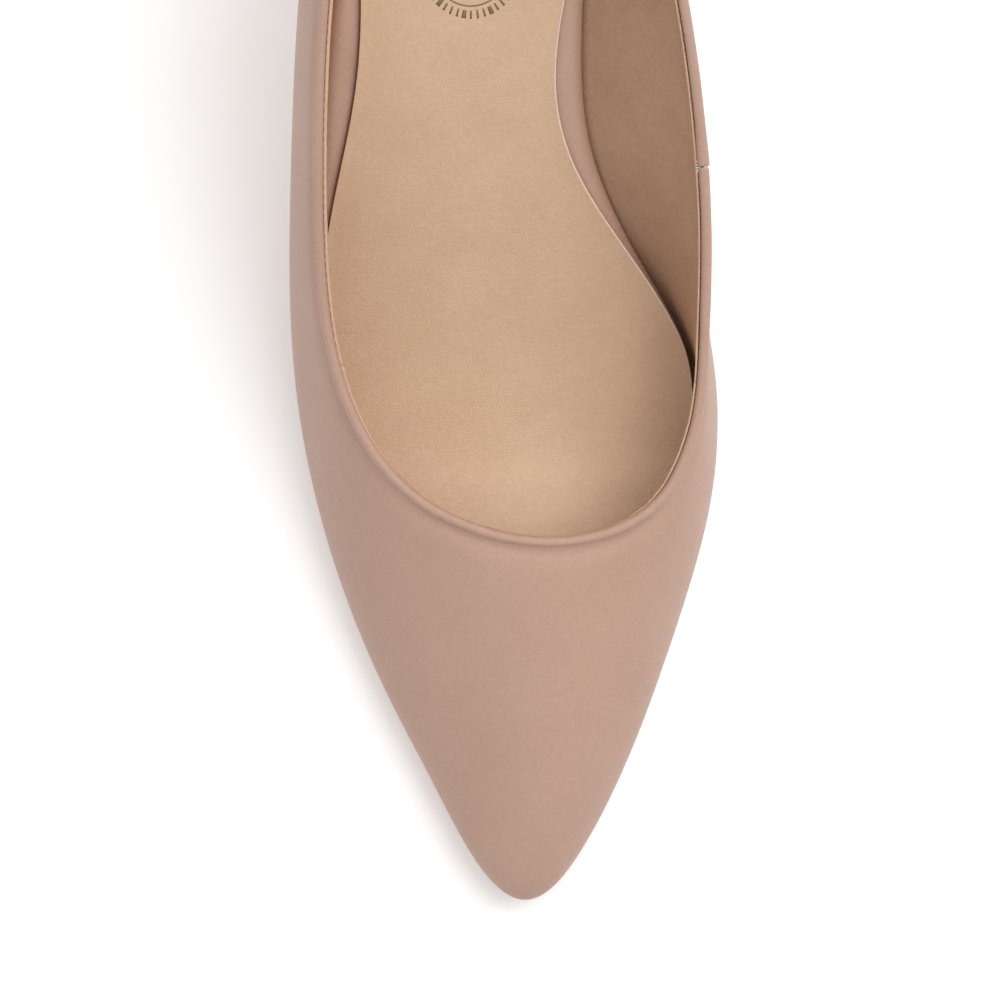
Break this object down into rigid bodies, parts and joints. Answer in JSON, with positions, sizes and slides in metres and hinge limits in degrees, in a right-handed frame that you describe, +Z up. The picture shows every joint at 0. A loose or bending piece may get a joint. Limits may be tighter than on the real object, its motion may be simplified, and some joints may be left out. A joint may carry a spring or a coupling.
{
  "type": "high heel pump",
  "caption": "Right-foot pointed-toe pump with a slim high covered heel, folded and stitched topline, leather lining, padded sock and a hidden steel shank.",
  "frame": {"origin": "on the ground, at the centre of the shoe's footprint box", "axes": "+Z up, -Y towards the toe, +Y towards the heel, +X towards the medial (arch) side"},
  "size_m": [0.081, 0.239, 0.1355],
  "materials": {
    "nappa_upper": "smooth matte nappa, warm nude beige",
    "lining_leather": "smooth lining leather, tan, darker than the sock",
    "stiffener": "heat-formed thermoplastic sheet",
    "backing_cloth": "thin woven backing",
    "reinforcing_tape": "narrow woven tape",
    "thread": "twisted brown thread",
    "light_thread": "twisted off-white thread",
    "fibreboard": "pressed cellulose board",
    "foam": "thin open-cell foam",
    "insole_leather": "smooth nappa wrapped round the insole",
    "sock_leather": "smooth matte sock, light tan",
    "outsole_rubber": "moulded resin rubber, tan, fine matte texture",
    "cork_filler": "cork paste",
    "spring_steel": "rolled spring steel",
    "rivet_brass": "brass-plated tubular rivet",
    "heel_plastic": "injection-moulded plastic",
    "heel_leather": "smooth matte nappa pulled over the heel",
    "tube_steel": "plain steel",
    "tip_rubber": "hard-wearing dark brown rubber"
  },
  "bodies": {
    "root": {"vamp": "nappa_upper", "medial_quarter": "nappa_upper", "vamp_lining": "lining_leather", "quarter_lining": "lining_leather", "toe_puff": "stiffener", "heel_counter": "stiffener", "vamp_backing": "backing_cloth", "quarter_backing_lateral": "backing_cloth", "quarter_backing_medial": "backing_cloth", "topline_tape": "reinforcing_tape", "topline_thread": "thread", "side_seam_bartack": "light_thread", "insole_board": "fibreboard", "insole_foam": "foam", "insole_cover": "insole_leather", "sock_lining": "sock_leather", "outsole": "outsole_rubber", "bottom_filler": "cork_filler", "steel_shank": "spring_steel", "shank_rivet_front": "rivet_brass", "shank_rivet_rear": "rivet_brass", "heel_block": "heel_plastic", "heel_cover": "heel_leather", "heel_tube": "tube_steel", "heel_tip": "tip_rubber", "heel_tip_pin": "tube_steel", "heel_screw": "tube_steel", "heel_nail_1": "tube_steel", "heel_nail_2": "tube_steel", "heel_nail_3": "tube_steel", "heel_nail_4": "tube_steel"}
  },
  "joints": []
}
